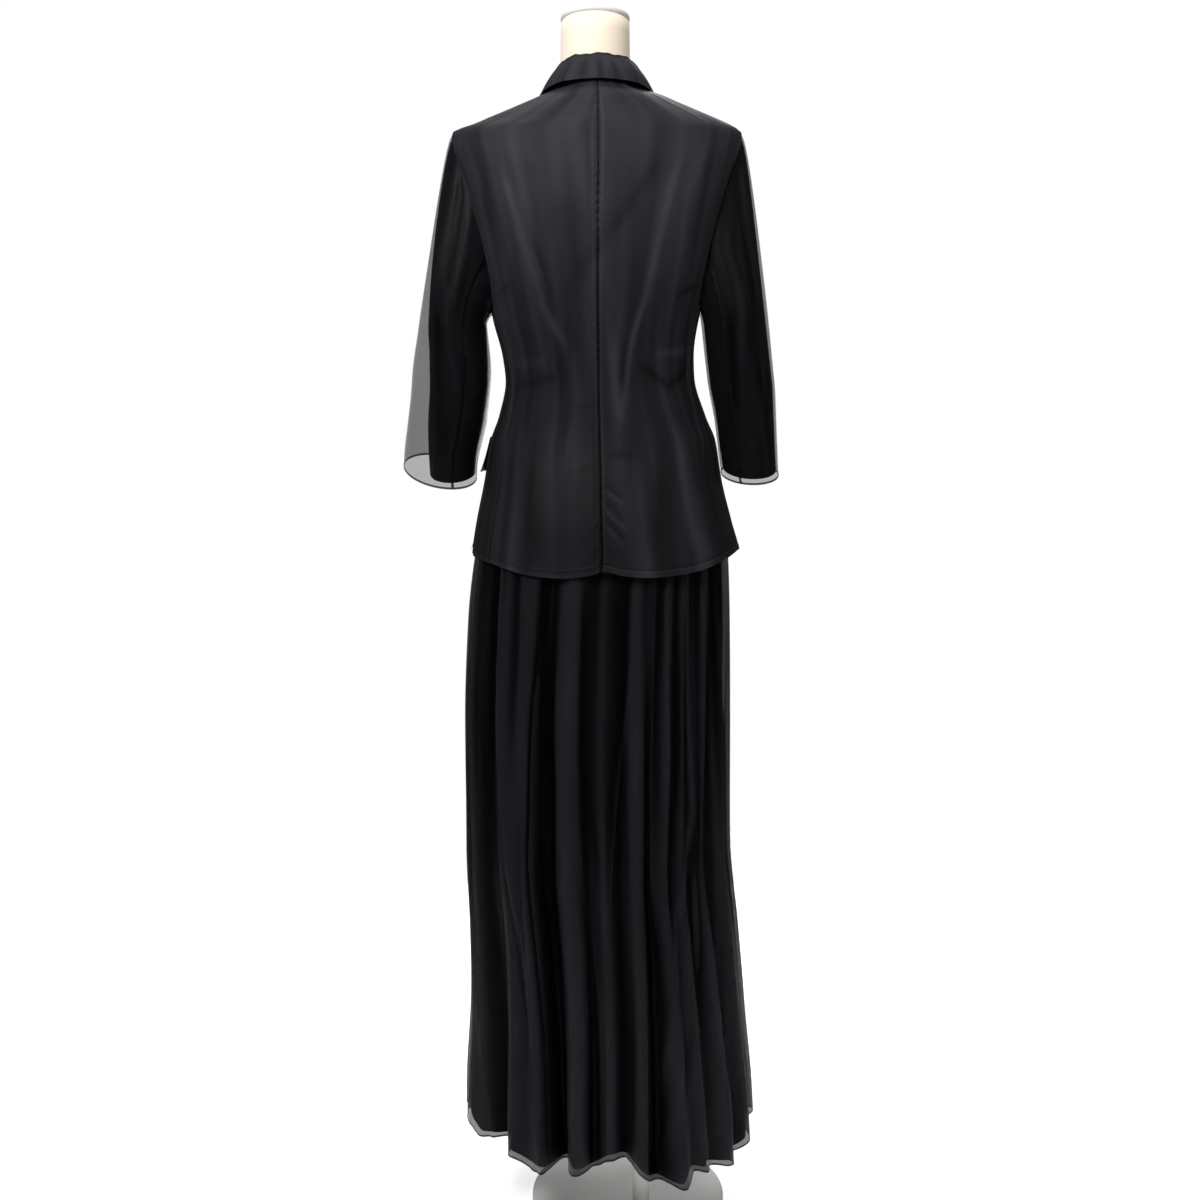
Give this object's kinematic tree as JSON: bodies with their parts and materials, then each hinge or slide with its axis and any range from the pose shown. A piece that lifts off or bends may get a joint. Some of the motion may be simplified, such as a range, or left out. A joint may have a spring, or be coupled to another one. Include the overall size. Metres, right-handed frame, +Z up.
{
  "type": "skirt suit on a dress form",
  "caption": "Sheer black skirt suit: a fitted collared jacket with wide lined sleeves over a long folded skirt, on a limbless dress form with a round stand.",
  "frame": {"origin": "on the underside of the stand's round base, below the middle of the garment", "axes": "+Z up, the jacket's back faces -Y and its front +Y, and +X is the wearer's right, which is on the right in a view of the back"},
  "size_m": [0.4969, 0.312, 1.6239],
  "materials": {
    "jacket_cloth": "fine matt crepe over an opaque lining",
    "sheer_cloth": "thin see-through crepe with a soft sheen",
    "lining": "smooth black lining cloth",
    "button": "black, polished",
    "form_cover": "cream jersey stretched over the form",
    "neck_cap": "pale grey, satin",
    "pole": "satin grey",
    "base": "satin grey"
  },
  "bodies": {
    "root": {"back_left": "jacket_cloth", "back_right": "jacket_cloth", "side_left": "jacket_cloth", "side_right": "jacket_cloth", "front_left": "jacket_cloth", "front_right": "jacket_cloth", "collar": "jacket_cloth", "lapel_left": "jacket_cloth", "lapel_right": "jacket_cloth", "pocket_flap_left": "jacket_cloth", "pocket_flap_right": "jacket_cloth", "sleeve_top_left": "sheer_cloth", "sleeve_under_left": "sheer_cloth", "sleeve_top_right": "sheer_cloth", "sleeve_under_right": "sheer_cloth", "sleeve_lining_top_left": "lining", "sleeve_lining_under_left": "lining", "sleeve_lining_top_right": "lining", "sleeve_lining_under_right": "lining", "button_1": "button", "button_2": "button", "button_3": "button", "skirt_back_left": "sheer_cloth", "skirt_back_right": "sheer_cloth", "skirt_front": "sheer_cloth", "skirt_lining_back_left": "lining", "skirt_lining_back_right": "lining", "skirt_lining_front": "lining", "skirt_waistband": "lining", "form_torso": "form_cover", "form_neck_cap": "neck_cap", "stand_pole": "pole", "stand_base": "base"}
  },
  "joints": []
}
